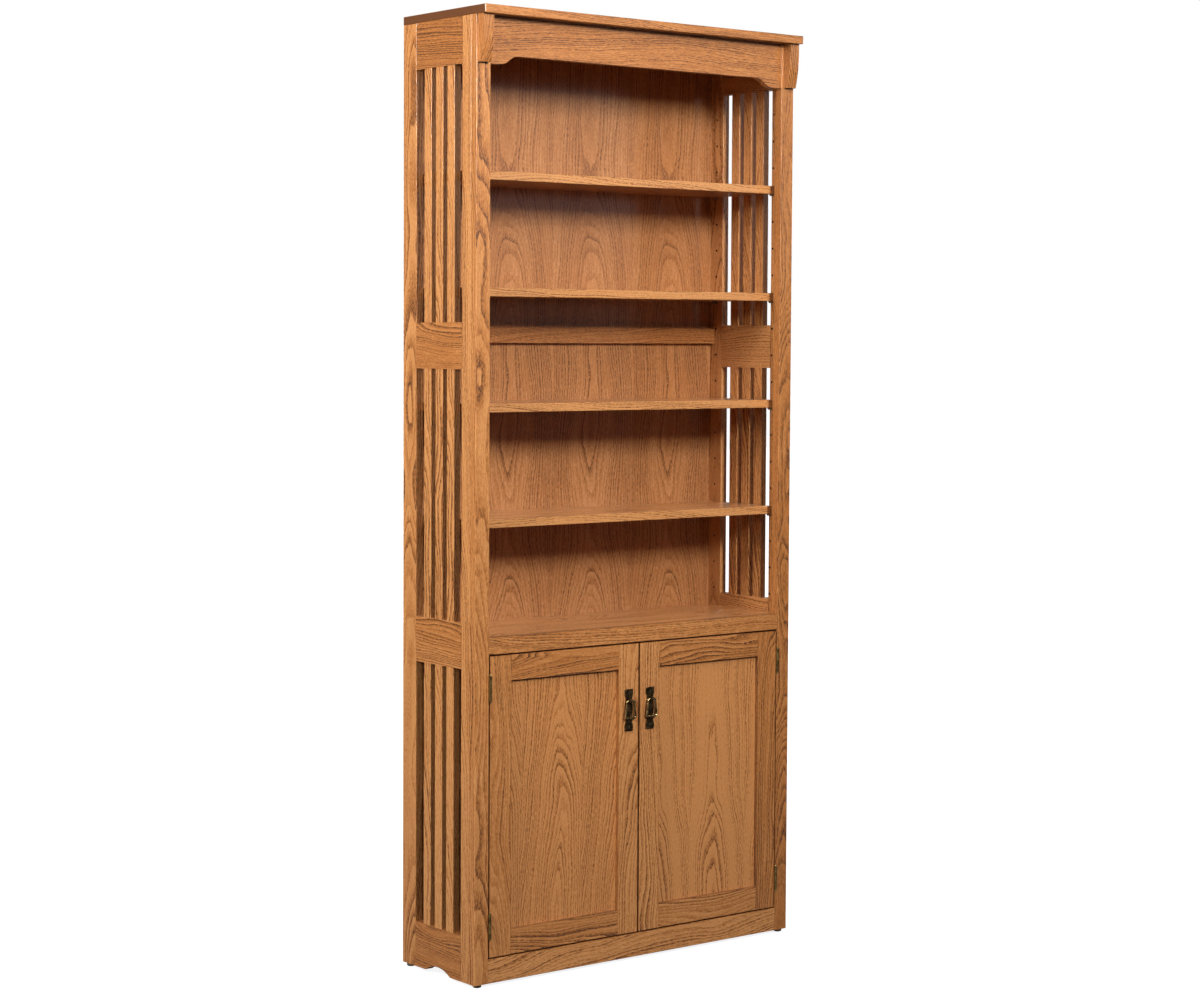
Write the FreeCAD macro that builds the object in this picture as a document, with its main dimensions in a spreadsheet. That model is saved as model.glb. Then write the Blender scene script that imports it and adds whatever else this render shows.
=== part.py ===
import FreeCAD, Part
import math
import os

import Sketcher
from FreeCAD import Placement, Rotation, Vector

# A free-standing bookcase: slatted side frames and a face frame carry a top board, open shelves
# stand on pins, and the low cabinet has two inset panel doors.
# Millimetres, +Z up. The front looks towards -Y. The origin is on the floor, in the middle.

doc = FreeCAD.newDocument("Bookcase")

dimensions = {
    # the case as a whole
    "overall_height": 2134,
    "case_width": 917,
    "case_depth": 281,
    "top_thick": 19,
    "top_overhang": 33,
    "top_side_overhang": 1,
    "top_round": 2,
    "arris": 1,
    # glides under the four corners
    "glide_height": 7,
    "glide_diameter": 19,
    "glide_round": 3,
    "glide_stem_diameter": 3,
    "glide_stem_length": 14,
    "stem_play": 0.05,
    "front_glide_from_side": 16,
    "front_glide_from_face": 12.5,
    "rear_glide_from_back": 20,
    # face frame
    "frame_thick": 20,
    "face_stile_width": 37,
    "counter_height": 769,
    "counter_rail_height": 37.5,
    "base_rail_height": 54,
    "frame_tenon_length": 18,
    "apron_end_height": 103,
    "apron_rise": 20,
    "apron_flat": 26,
    "apron_ogee": 52,
    "apron_setback": 2.5,
    # corbels under the front of the top
    "corbel_width": 27.5,
    "corbel_height": 102,
    "corbel_depth": 22,
    "corbel_foot_depth": 11,
    "corbel_block": 22,
    "corbel_inset": 3,
    # side frames
    "side_thick": 19,
    "front_stile_width": 33,
    "rear_stile_width": 51,
    "side_rail_height": 102,
    "middle_rail_drop": 2.5,
    "lower_rail_below_counter": 71,
    "tenon_thick": 8,
    "tenon_length": 20,
    "tenon_shoulder": 10,
    "mortise_spare": 0.8,
    "arch_width": 96,
    "arch_rise": 14,
    # slats
    "slat_width": 27.5,
    "slat_thick": 17,
    "slat_gap": 16.7,
    "slat_tenon_length": 9,
    "slat_tenon_shoulder": 3,
    # boards and back
    "board_thick": 19,
    "housing_depth": 5,
    "back_thick": 6,
    "rabbet_width": 9.5,
    "rabbet_depth": 7,
    "back_play": 0.5,
    "back_rail_height": 37,
    "back_rail_thick": 16,
    "back_rail_below_shelf": 65.5,
    # adjustable shelves and their pins
    "shelf_setback": 44,
    "shelf_side_play": 1.5,
    "shelf_back_play": 0.8,
    "pin_diameter": 5,
    "pin_grip": 8,
    "pin_reach": 9,
    "pin_tab_width": 9,
    "pin_tab_thick": 2,
    "pin_hole_play": 0.05,
    "pin_hole_depth": 9,
    "pin_from_front_stile_back": 5.5,
    "pin_from_rear_stile_front": 22.5,
    "pin_pitch": 63.5,
    "lowest_pin_above_counter": 42.5,
    "highest_pin_below_top": 160,
    "lowest_pin_above_floor": 215.5,
    "highest_pin_below_counter": 234,
    # doors
    "door_gap": 3,
    "door_middle_gap": 4,
    "door_thick": 19,
    "door_stile_width": 58,
    "door_rail_width": 57,
    "panel_thick": 6,
    "panel_setback": 8,
    "groove_depth": 9,
    "groove_play": 0.1,
    "panel_edge_play": 0.8,
    # butt hinges
    "hinge_from_door_end": 70,
    "hinge_axis_out": 4,
    "hinge_barrel_length": 53,
    "hinge_barrel_diameter": 6.5,
    "hinge_pin_diameter": 3,
    "hinge_pin_play": 0.05,
    "hinge_play": 0.3,
    "hinge_tip_diameter": 5,
    "hinge_tip_sink": 0.5,
    "hinge_collar": 0.8,
    "leaf_width": 17,
    "leaf_thick": 1.25,
    "leaf_screw_spacing": 20,
    "leaf_screw_from_face": 10,
    # wood screws
    "screw_head_diameter": 6.4,
    "screw_head_depth": 2,
    "screw_shank_diameter": 3.4,
    "screw_length": 16,
    "screw_point_length": 4,
    "screw_point_diameter": 0.4,
    "screw_play": 0.05,
    # drop pulls
    "pull_from_door_top": 151,
    "pull_height": 96,
    "pull_width": 24,
    "pull_waist": 18.5,
    "pull_thick": 2.5,
    "pull_end": 14,
    "pull_flare": 10,
    "pull_corner": 2,
    "pull_bevel": 0.6,
    "pull_screw_spacing": 76,
    "knuckle_diameter": 9,
    "knuckle_width": 8,
    "knuckle_rise": 22,
    "knuckle_out": 5.5,
    "knuckle_neck_height": 6.4,
    "bail_rod": 4.8,
    "bail_play": 0.05,
    "bail_top_width": 19,
    "bail_bottom_width": 30,
    "bail_drop": 40,
    "bail_bend": 4,
    "bail_end_gap": 1.2,
    # twin magnetic catch and its strikes
    "catch_width": 44,
    "catch_height": 37,
    "catch_depth": 14,
    "catch_air": 0.5,
    "catch_ear_width": 10,
    "catch_ear_height": 14,
    "catch_ear_thick": 2,
    "strike_width": 14,
    "strike_height": 13,
    "strike_thick": 1,
    "strike_from_middle": 6,
    # how far a cut runs past the face it opens
    "overrun": 1,
}

sheet = doc.addObject("Spreadsheet::Sheet", "Dimensions")
for row, (alias, number) in enumerate(dimensions.items(), start=1):
    sheet.set(f"A{row}", alias)
    sheet.set(f"B{row}", str(number))
    sheet.setAlias(f"B{row}", alias)
doc.recompute()


class Size:
    # A length that knows its number and the expression that keeps it in step with the sheet.
    def __init__(self, number, text):
        self.number = float(number)
        self.text = text

    def __add__(self, other):
        other = as_size(other)
        return Size(self.number + other.number, f"({self.text} + {other.text})")

    def __sub__(self, other):
        other = as_size(other)
        return Size(self.number - other.number, f"({self.text} - {other.text})")

    def __mul__(self, other):
        other = as_size(other)
        return Size(self.number * other.number, f"({self.text} * {other.text})")

    def __truediv__(self, other):
        other = as_size(other)
        return Size(self.number / other.number, f"({self.text} / {other.text})")

    def __neg__(self):
        return Size(-self.number, f"(-{self.text})")

    def whole(self):
        return Size(math.floor(self.number), f"floor({self.text})")


def as_size(value):
    if isinstance(value, Size):
        return value
    return Size(value, f"({value})")


def of(alias):
    return Size(sheet.get(alias), f"Dimensions.{alias}")


def bind(target, name, value):
    target.setExpression(name, as_size(value).text)


# ---- places that several pieces share

left = -of("case_width") / 2
inner_left = left + of("side_thick")
stile_edge = left + of("face_stile_width")
case_front = (of("top_overhang") - of("case_depth")) / 2
case_back = (of("top_overhang") + of("case_depth")) / 2
frame_back = case_front + of("frame_thick")
front_stile_back = frame_back + of("front_stile_width")
rear_stile_front = case_back - of("rear_stile_width")
bay_middle = (front_stile_back + rear_stile_front) / 2
panel_front = case_back - of("rabbet_depth")
case_bottom = of("glide_height")
case_top = of("overall_height") - of("top_thick")
counter_top = of("counter_height")
counter_rail_bottom = counter_top - of("counter_rail_height")
floor_top = case_bottom + of("base_rail_height")

tenon_left = left + (of("side_thick") - of("tenon_thick")) / 2
tenon_span = (tenon_left, tenon_left + of("tenon_thick"))

# The middle rail parts the open slats a little below half way between the rails above and below.
side_rail_bottoms = {
    "top": case_top - of("side_rail_height"),
    "lower": counter_top - of("lower_rail_below_counter"),
    "bottom": case_bottom,
}
side_rail_bottoms["middle"] = (
    (side_rail_bottoms["lower"] + side_rail_bottoms["top"]) / 2 - of("middle_rail_drop")
)

door_left = stile_edge + of("door_gap")
door_right = -of("door_middle_gap") / 2
door_bottom = floor_top + of("door_gap")
door_top = counter_rail_bottom - of("door_gap")
door_back = case_front + of("door_thick")

hinge_x = stile_edge + of("door_gap") / 2
hinge_y = case_front - of("hinge_axis_out")
hinge_heights = {
    "upper": door_top - of("hinge_from_door_end"),
    "lower": door_bottom + of("hinge_from_door_end"),
}

pull_x = door_right - of("door_stile_width") / 2
pull_z = door_top - of("pull_from_door_top")

# The twelve edges of a box, named by the two faces that meet there.
box_edges = {
    "left front": "Edge1",
    "left top": "Edge2",
    "left back": "Edge3",
    "left bottom": "Edge4",
    "right front": "Edge5",
    "right top": "Edge6",
    "right back": "Edge7",
    "right bottom": "Edge8",
    "bottom front": "Edge9",
    "top front": "Edge10",
    "bottom back": "Edge11",
    "top back": "Edge12",
}
edges_along_x = ("bottom front", "top front", "bottom back", "top back")
edges_along_z = ("left front", "left back", "right front", "right back")

# Turns that lay a piece made along Z so that its top points along or against another axis.
along_x = Rotation(Vector(0, 1, 0), 90)
against_x = Rotation(Vector(0, 1, 0), -90)
along_y = Rotation(Vector(1, 0, 0), -90)
against_y = Rotation(Vector(1, 0, 0), 90)

nodes = {}


def keep(label, piece):
    piece.Label = label
    nodes[label] = piece
    return piece


# ---- building blocks

def fit_box(box, x_span, y_span, z_span):
    for axis, side, (low, high) in zip("xyz", ("Length", "Width", "Height"), (x_span, y_span, z_span)):
        bind(box, side, as_size(high) - low)
        bind(box, f"Placement.Base.{axis}", low)


def put(piece, x, y, z, turn=None):
    if turn is not None:
        piece.Placement = Placement(Vector(), turn)
    for axis, value in zip("xyz", (x, y, z)):
        bind(piece, f"Placement.Base.{axis}", value)


def board(label, x_span, y_span, z_span, eased=(), radius="arris"):
    body = doc.addObject("PartDesign::Body", label)
    block = body.newObject("PartDesign::AdditiveBox", f"{label}_block")
    fit_box(block, x_span, y_span, z_span)
    if eased:
        rounding = body.newObject("PartDesign::Fillet", f"{label}_arrises")
        rounding.Base = (block, [box_edges[edge] for edge in eased])
        bind(rounding, "Radius", of(radius))
    return body


def add_box(body, name, x_span, y_span, z_span):
    fit_box(body.newObject("PartDesign::AdditiveBox", name), x_span, y_span, z_span)


def cut_box(body, name, x_span, y_span, z_span):
    fit_box(body.newObject("PartDesign::SubtractiveBox", name), x_span, y_span, z_span)


def round_bar(body, kind, name, radius, length, x, y, z, turn=None):
    bar = body.newObject(f"PartDesign::{kind}Cylinder", name)
    bind(bar, "Radius", radius)
    bind(bar, "Height", length)
    put(bar, x, y, z, turn)
    return bar


def mirrored(label, source):
    copy = doc.addObject("Part::Mirroring", label)
    copy.Source = source
    copy.Normal = Vector(1, 0, 0)
    return copy


def group(label, pieces):
    together = doc.addObject("Part::Compound", label)
    together.Links = pieces
    return together


def cut_by(label, piece, tool):
    cut = doc.addObject("Part::Cut", label)
    cut.Base = piece
    cut.Tool = tool
    return cut


def drilled(label, piece, drills):
    return cut_by(label, piece, group(f"{label}_drills", drills))


def copy_at(label, template, x, y, z, turn=None):
    copy = doc.addObject("App::Link", label)
    copy.LinkedObject = template
    put(copy, x, y, z, turn)
    return copy


def origin_of(body, role):
    return next(feature for feature in body.Origin.OriginFeatures if feature.Role == role)


def sketch_on(body, name, plane):
    sketch = body.newObject("Sketcher::SketchObject", name)
    sketch.AttachmentSupport = (origin_of(body, plane), [""])
    sketch.MapMode = "FlatFace"
    return sketch


def pin_point(sketch, line, end, u, v):
    for kind, value in (("DistanceX", as_size(u)), ("DistanceY", as_size(v))):
        row = sketch.addConstraint(Sketcher.Constraint(kind, -1, 1, line, end, value.number))
        bind(sketch, f"Constraints[{row}]", value)


def outline(sketch, corners, arcs=()):
    # A closed outline through the corners. A side listed in arcs is bent to a radius, to the left
    # (+1) or to the right (-1) of the way from its corner to the next.
    arcs = dict(arcs)
    points = [Vector(as_size(u).number, as_size(v).number, 0) for u, v in corners]
    starts = []
    ends = []
    for side, start in enumerate(points):
        end = points[(side + 1) % len(points)]
        if side not in arcs:
            line = sketch.addGeometry(Part.LineSegment(start, end))
            starts.append((line, 1))
            ends.append((line, 2))
            continue
        radius, bend = arcs[side]
        chord = end - start
        outwards = Vector(-chord.y, chord.x, 0).normalize() * bend
        rise = radius.number - math.sqrt(radius.number ** 2 - chord.Length ** 2 / 4)
        middle = (start + end) / 2 + outwards * rise
        first, last = (end, start) if bend > 0 else (start, end)
        line = sketch.addGeometry(Part.Arc(first, middle, last))
        starts.append((line, 2 if bend > 0 else 1))
        ends.append((line, 1 if bend > 0 else 2))
        row = sketch.addConstraint(Sketcher.Constraint("Radius", line, radius.number))
        bind(sketch, f"Constraints[{row}]", radius)
    for side, (u, v) in enumerate(corners):
        meets = starts[(side + 1) % len(corners)]
        sketch.addConstraint(Sketcher.Constraint("Coincident", *ends[side], *meets))
        pin_point(sketch, *starts[side], u, v)


def bent_path(sketch, corners, radius):
    # An open path of straight runs through the corners, with an arc tangent to both runs at each bend.
    points = [Vector(as_size(u).number, as_size(v).number, 0) for u, v in corners]
    trims = [0]
    for before, here, after in zip(points, points[1:], points[2:]):
        turn = (here - before).getAngle(after - here)
        trims.append(radius.number * math.tan(turn / 2))
    trims.append(0)
    runs = []
    for index, (start, end) in enumerate(zip(points, points[1:])):
        along = (end - start).normalize()
        segment = Part.LineSegment(start + along * trims[index], end - along * trims[index + 1])
        runs.append(sketch.addGeometry(segment))
    pin_point(sketch, runs[0], 1, *corners[0])
    pin_point(sketch, runs[-1], 2, *corners[-1])
    for index, here in enumerate(points[1:-1], start=1):
        before = (points[index - 1] - here).normalize()
        after = (points[index + 1] - here).normalize()
        inwards = (before + after).normalize()
        reach = math.hypot(radius.number, trims[index]) - radius.number
        arc_points = (here + before * trims[index], here + inwards * reach, here + after * trims[index])
        clockwise = before.cross(after).z > 0
        if not clockwise:
            arc_points = arc_points[::-1]
        arc = sketch.addGeometry(Part.Arc(*arc_points[::-1]))
        into, out = (2, 1) if clockwise else (1, 2)
        corner = sketch.addGeometry(Part.Point(here), True)
        pin_point(sketch, corner, 1, *corners[index])
        sketch.addConstraint(Sketcher.Constraint("PointOnObject", corner, 1, runs[index - 1]))
        sketch.addConstraint(Sketcher.Constraint("PointOnObject", corner, 1, runs[index]))
        sketch.addConstraint(Sketcher.Constraint("Tangent", runs[index - 1], 2, arc, into))
        sketch.addConstraint(Sketcher.Constraint("Tangent", runs[index], 1, arc, out))
        row = sketch.addConstraint(Sketcher.Constraint("Radius", arc, radius.number))
        bind(sketch, f"Constraints[{row}]", radius)


def pad(body, sketch, name, length):
    feature = body.newObject("PartDesign::Pad", name)
    feature.Profile = sketch
    bind(feature, "Length", length)
    return feature


def arc_radius(run, rise):
    # The circle that leaves a straight side tangentially and is off it by rise after run.
    return (run * run + rise * rise) / (rise * 2)


# ---- wood screw, all one kind: flat head, made point down with its head's face at the origin

def screw_form(label, play):
    body = doc.addObject("PartDesign::Body", label)
    shank = of("screw_shank_diameter") / 2 + play
    point_top = of("screw_point_length") - of("screw_length")
    point = body.newObject("PartDesign::AdditiveCone", f"{label}_point")
    bind(point, "Radius1", of("screw_point_diameter") / 2 + play)
    bind(point, "Radius2", shank)
    bind(point, "Height", of("screw_point_length"))
    put(point, 0, 0, -of("screw_length"))
    shank_length = of("screw_length") - of("screw_point_length") - of("screw_head_depth")
    round_bar(body, "Additive", f"{label}_shank", shank, shank_length, 0, 0, point_top)
    head = body.newObject("PartDesign::AdditiveCone", f"{label}_head")
    bind(head, "Radius1", shank)
    bind(head, "Radius2", of("screw_head_diameter") / 2 + play)
    bind(head, "Height", of("screw_head_depth"))
    put(head, 0, 0, -of("screw_head_depth"))
    return body


wood_screw = screw_form("wood_screw", 0)
screw_drill = screw_form("screw_drill", of("screw_play"))


def screws_at(label, template, places, turn):
    return [copy_at(f"{label}_{index}", template, *place, turn) for index, place in enumerate(places)]


leaf_screw_offsets = (-of("leaf_screw_spacing"), 0, of("leaf_screw_spacing"))
leaf_screw_y = case_front + of("leaf_screw_from_face")
frame_leaf_face = stile_edge + of("leaf_thick")
door_leaf_face = door_left - of("leaf_thick")
frame_screw_places = [
    (frame_leaf_face, leaf_screw_y, height + offset)
    for height in hinge_heights.values()
    for offset in leaf_screw_offsets
]
door_screw_places = [
    (door_leaf_face, leaf_screw_y, height + offset)
    for height in hinge_heights.values()
    for offset in leaf_screw_offsets
]
pull_screw_places = [
    (pull_x, case_front - of("pull_thick"), pull_z + of("pull_screw_spacing") / 2),
    (pull_x, case_front - of("pull_thick"), pull_z - of("pull_screw_spacing") / 2),
]
strike_right = -of("strike_from_middle")
strike_x = strike_right - of("strike_width") / 2
strike_top = door_top - of("catch_ear_thick")
strike_z = strike_top - of("strike_height") / 2
strike_screw_places = [(strike_x, door_back + of("strike_thick"), strike_z)]
ear_x = -(of("catch_width") + of("catch_ear_width")) / 2
ear_z = counter_rail_bottom + of("catch_ear_height") / 2 + of("catch_ear_thick")
catch_screw_places = [(ear_x, frame_back + of("catch_ear_thick"), ear_z)]


# ---- top board

def build_top():
    reach = of("case_width") / 2 + of("top_side_overhang")
    top = board(
        "top_board",
        (-reach, reach),
        (case_front - of("top_overhang"), case_back),
        (case_top, of("overall_height")),
        box_edges,
        "top_round",
    )
    keep("top_board", top)


# ---- face frame

frame_tenon_y = (
    case_front + (of("frame_thick") - of("tenon_thick")) / 2,
    case_front + (of("frame_thick") + of("tenon_thick")) / 2,
)
frame_rails = {
    "apron": (case_top - of("apron_end_height"), case_top),
    "counter_rail": (counter_rail_bottom, counter_top),
    "base_rail": (case_bottom, floor_top),
}


def frame_tenon_z(rail):
    low, high = frame_rails[rail]
    return (low + of("tenon_shoulder"), high - of("tenon_shoulder"))


def build_face_stiles():
    stile = board(
        "face_stile_left_board",
        (left, stile_edge),
        (case_front, frame_back),
        (case_bottom, case_top),
        ("left front", "right front", "left back"),
    )
    mortise_x = (stile_edge - of("frame_tenon_length") - of("mortise_spare"), stile_edge)
    for rail in frame_rails:
        cut_box(stile, f"{rail}_mortise", mortise_x, frame_tenon_y, frame_tenon_z(rail))
    stem_hole(stile, "front_glide_hole", *front_glide_place)
    drills = screws_at("frame_drill", screw_drill, frame_screw_places, along_x)
    keep("face_stile_left", drilled("face_stile_left", stile, drills))
    keep("face_stile_right", mirrored("face_stile_right", nodes["face_stile_left"]))


def add_frame_tenons(body, rail, y_span=frame_tenon_y):
    length = of("frame_tenon_length")
    add_box(body, f"{rail}_left_tenon", (stile_edge - length, stile_edge), y_span, frame_tenon_z(rail))
    add_box(body, f"{rail}_right_tenon", (-stile_edge, length - stile_edge), y_span, frame_tenon_z(rail))


def build_frame_rails():
    for rail in ("counter_rail", "base_rail"):
        piece = board(rail, (stile_edge, -stile_edge), (case_front, frame_back), frame_rails[rail],
                      edges_along_x)
        add_frame_tenons(piece, rail)
        if rail == "counter_rail":
            places = catch_screw_places + [(-x, y, z) for x, y, z in catch_screw_places]
            drills = screws_at("catch_drill", screw_drill, places, along_y)
            piece = drilled(rail, piece, drills)
        keep(rail, piece)


def build_apron():
    # The lower edge stands low by the stiles and climbs to the middle in an ogee of two equal arcs.
    body = doc.addObject("PartDesign::Body", "apron")
    bind(body, "Placement.Base.y", frame_back)
    low, high = frame_rails["apron"]
    half_run = of("apron_ogee") / 2
    half_rise = of("apron_rise") / 2
    start = stile_edge + of("apron_flat")
    corners = [
        (stile_edge, low),
        (start, low),
        (start + half_run, low + half_rise),
        (start + of("apron_ogee"), low + of("apron_rise")),
        (-(start + of("apron_ogee")), low + of("apron_rise")),
        (-(start + half_run), low + half_rise),
        (-start, low),
        (-stile_edge, low),
        (-stile_edge, high),
        (stile_edge, high),
    ]
    radius = arc_radius(half_run, half_rise)
    arcs = {1: (radius, -1), 2: (radius, 1), 4: (radius, 1), 5: (radius, -1)}
    sketch = sketch_on(body, "apron_outline", "XZ_Plane")
    outline(sketch, corners, arcs)
    pad(body, sketch, "apron_board", of("frame_thick") - of("apron_setback"))
    local_y = tuple(edge - frame_back for edge in frame_tenon_y)
    add_frame_tenons(body, "apron", local_y)
    keep("apron", body)


def build_corbels():
    body = doc.addObject("PartDesign::Body", "corbel_left")
    put(body, left + of("corbel_inset"), case_front, case_top)
    foot = -of("corbel_height")
    corners = [
        (0, 0),
        (0, foot),
        (-of("corbel_foot_depth"), foot),
        (-of("corbel_depth"), -of("corbel_block")),
        (-of("corbel_depth"), 0),
    ]
    run = of("corbel_height") - of("corbel_block")
    radius = arc_radius(run, of("corbel_depth") - of("corbel_foot_depth"))
    sketch = sketch_on(body, "corbel_outline", "YZ_Plane")
    outline(sketch, corners, {2: (radius, 1)})
    pad(body, sketch, "corbel_block", of("corbel_width"))
    keep("corbel_left", body)
    keep("corbel_right", mirrored("corbel_right", body))


# ---- side frames, built on the left and mirrored

pin_front_y = front_stile_back - of("pin_from_front_stile_back")
pin_rear_y = rear_stile_front + of("pin_from_rear_stile_front")
lowest_pins = {
    "open": counter_top + of("lowest_pin_above_counter"),
    "cabinet": floor_top + of("lowest_pin_above_floor"),
}
highest_pins = {
    "open": case_top - of("highest_pin_below_top"),
    "cabinet": counter_top - of("highest_pin_below_counter"),
}
pin_steps = {
    part: ((highest_pins[part] - lowest_pins[part]) / of("pin_pitch")).whole()
    for part in lowest_pins
}


def build_pin_drills():
    # The rows of holes run through stiles and tenons alike, so one set of drills cuts them all.
    rows = []
    radius = of("pin_diameter") / 2 + of("pin_hole_play")
    length = of("pin_hole_depth") + of("overrun")
    bottom_x = inner_left - of("pin_hole_depth")
    for part, lowest in lowest_pins.items():
        for side, y in (("front", pin_front_y), ("rear", pin_rear_y)):
            name = f"{part}_{side}_pin_drill"
            body = doc.addObject("PartDesign::Body", f"{name}_row")
            drill = round_bar(body, "Additive", name, radius, length, bottom_x, y, lowest, along_x)
            row = body.newObject("PartDesign::LinearPattern", f"{name}_pattern")
            row.Originals = [drill]
            row.Direction = (origin_of(body, "Z_Axis"), [""])
            bind(row, "Length", of("pin_pitch") * pin_steps[part])
            bind(row, "Occurrences", pin_steps[part] + 1)
            body.Tip = row
            rows.append(body)
    return group("pin_drills", rows)


pin_drills = build_pin_drills()


def cut_housings(body, name):
    # Grooves across the inner face for the ends of the counter board and the cabinet floor.
    across = (inner_left - of("housing_depth"), inner_left)
    along = (frame_back, panel_front)
    for board_name, top in (("counter", counter_top), ("floor", floor_top)):
        cut_box(body, f"{name}_{board_name}_housing", across, along, (top - of("board_thick"), top))


def stem_hole(body, name, x, y):
    radius = of("glide_stem_diameter") / 2 + of("stem_play")
    round_bar(body, "Subtractive", name, radius, of("glide_stem_length"), x, y, case_bottom)


front_glide_place = (left + of("front_glide_from_side"), case_front + of("front_glide_from_face"))
rear_glide_place = (left + of("side_thick") / 2, case_back - of("rear_glide_from_back"))


def build_side_stiles():
    stiles = {
        "front_stile": (frame_back, front_stile_back),
        "rear_stile": (rear_stile_front, case_back),
    }
    length = of("tenon_length") + of("mortise_spare")
    mortises = {
        "front_stile": (front_stile_back - length, front_stile_back),
        "rear_stile": (rear_stile_front, rear_stile_front + length),
    }
    for name, y_span in stiles.items():
        stile = board(f"{name}_board", (left, inner_left), y_span, (case_bottom, case_top), edges_along_z)
        for rail, low in side_rail_bottoms.items():
            high = low + of("side_rail_height")
            z_span = (low + of("tenon_shoulder"), high - of("tenon_shoulder"))
            cut_box(stile, f"{name}_{rail}_mortise", tenon_span, mortises[name], z_span)
        cut_housings(stile, name)
        if name == "rear_stile":
            rabbet_x = (inner_left - of("rabbet_width"), inner_left)
            cut_box(stile, "back_rabbet", rabbet_x, (panel_front, case_back), (case_bottom, case_top))
            stem_hole(stile, "rear_glide_hole", *rear_glide_place)
        keep(f"{name}_left", cut_by(f"{name}_left", stile, pin_drills))
        keep(f"{name}_right", mirrored(f"{name}_right", nodes[f"{name}_left"]))


slat_pitch = of("slat_width") + of("slat_gap")
slat_middles = [bay_middle - slat_pitch, bay_middle, bay_middle + slat_pitch]
slat_side_gap = (of("side_thick") - of("slat_thick")) / 2
slat_x = (left + slat_side_gap, inner_left - slat_side_gap)


def slat_tenon_y(middle):
    half = of("slat_width") / 2 - of("slat_tenon_shoulder")
    return (middle - half, middle + half)


def cut_slat_mortises(rail_body, name, z_span):
    for index, middle in enumerate(slat_middles):
        cut_box(rail_body, f"{name}_{index}", tenon_span, slat_tenon_y(middle), z_span)


def build_side_rails():
    length = of("tenon_length")
    depth = of("slat_tenon_length") + of("mortise_spare")
    for rail, low in side_rail_bottoms.items():
        high = low + of("side_rail_height")
        label = f"{rail}_rail_left"
        piece = board(f"{rail}_rail_board", (left, inner_left), (front_stile_back, rear_stile_front),
                      (low, high))
        if rail == "bottom":
            cut_arch(piece)
        tenon_z = (low + of("tenon_shoulder"), high - of("tenon_shoulder"))
        front_tenon = (front_stile_back - length, front_stile_back)
        rear_tenon = (rear_stile_front, rear_stile_front + length)
        add_box(piece, f"{label}_front_tenon", tenon_span, front_tenon, tenon_z)
        add_box(piece, f"{label}_rear_tenon", tenon_span, rear_tenon, tenon_z)
        if rail != "top":
            cut_slat_mortises(piece, f"{label}_upper_mortise", (high - depth, high))
        if rail != "bottom":
            cut_slat_mortises(piece, f"{label}_lower_mortise", (low, low + depth))
        if rail in ("lower", "bottom"):
            cut_housings(piece, label)
        keep(label, cut_by(label, piece, pin_drills))
        keep(f"{rail}_rail_right", mirrored(f"{rail}_rail_right", nodes[label]))


def cut_arch(rail_body):
    radius = arc_radius(of("arch_width") / 2, of("arch_rise"))
    centre_z = case_bottom + of("arch_rise") - radius
    length = of("side_thick") + of("overrun") * 2
    low_x = left - of("overrun")
    round_bar(rail_body, "Subtractive", "arch", radius, length, low_x, bay_middle, centre_z, along_x)


def build_slats():
    bays = {
        "upper": ("middle", "top"),
        "middle": ("lower", "middle"),
        "cabinet": ("bottom", "lower"),
    }
    slats = {}
    tenon = of("slat_tenon_length")
    for bay, (below, above) in bays.items():
        low = side_rail_bottoms[below] + of("side_rail_height")
        high = side_rail_bottoms[above]
        slats[bay] = []
        for index, middle in enumerate(slat_middles):
            y_span = (middle - of("slat_width") / 2, middle + of("slat_width") / 2)
            slat = board(f"{bay}_slat_{index}", slat_x, y_span, (low, high), edges_along_z)
            add_box(slat, f"{bay}_{index}_foot", tenon_span, slat_tenon_y(middle), (low - tenon, low))
            add_box(slat, f"{bay}_{index}_head", tenon_span, slat_tenon_y(middle), (high, high + tenon))
            slats[bay].append(slat)
    keep("open_slats_left", group("open_slats_left", slats["upper"] + slats["middle"]))
    keep("cabinet_slats_left", group("cabinet_slats_left", slats["cabinet"]))
    for name in ("open_slats", "cabinet_slats"):
        keep(f"{name}_right", mirrored(f"{name}_right", nodes[f"{name}_left"]))


# ---- where the adjustable shelves stand

open_shelves = ("shelf_1", "shelf_2", "shelf_3", "shelf_4")


def shelf_heights():
    # Shelves stand on the holes that share the open part out evenly, and the cabinet's in its middle.
    holes_apart = ((pin_steps["open"] + 2) / (len(open_shelves) + 1)).whole()
    heights = {}
    for number, label in enumerate(open_shelves, start=1):
        heights[label] = lowest_pins["open"] + of("pin_pitch") * (holes_apart * number - 1)
    middle_hole = (pin_steps["cabinet"] / 2).whole()
    heights["cabinet_shelf"] = lowest_pins["cabinet"] + of("pin_pitch") * middle_hole
    return heights


shelf_hole_heights = shelf_heights()
shelf_undersides = {
    label: hole_height + of("pin_diameter") / 2 for label, hole_height in shelf_hole_heights.items()
}

# ---- fixed boards and back

back_rail_top = shelf_undersides["shelf_3"] - of("back_rail_below_shelf")
back_joint = back_rail_top - of("back_rail_height") / 2


def build_fixed_boards():
    across = (inner_left - of("housing_depth"), of("housing_depth") - inner_left)
    along = (frame_back, panel_front)
    for label, top in (("counter_board", counter_top), ("floor_board", floor_top)):
        keep(label, board(label, across, along, (top - of("board_thick"), top)))


def build_back():
    edge = inner_left - of("rabbet_width") + of("back_play")
    across = (edge, -edge)
    along = (panel_front, panel_front + of("back_thick"))
    floor_bottom = floor_top - of("board_thick")
    half_joint = of("back_play") / 2
    keep("lower_back", board("lower_back", across, along, (floor_bottom, back_joint - half_joint)))
    keep("upper_back", board("upper_back", across, along, (back_joint + half_joint, case_top)))
    rail = board(
        "back_rail",
        (inner_left, -inner_left),
        (panel_front - of("back_rail_thick"), panel_front),
        (back_rail_top - of("back_rail_height"), back_rail_top),
        ("bottom front", "top front"),
    )
    keep("back_rail", rail)


# ---- adjustable shelves on pins

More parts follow.
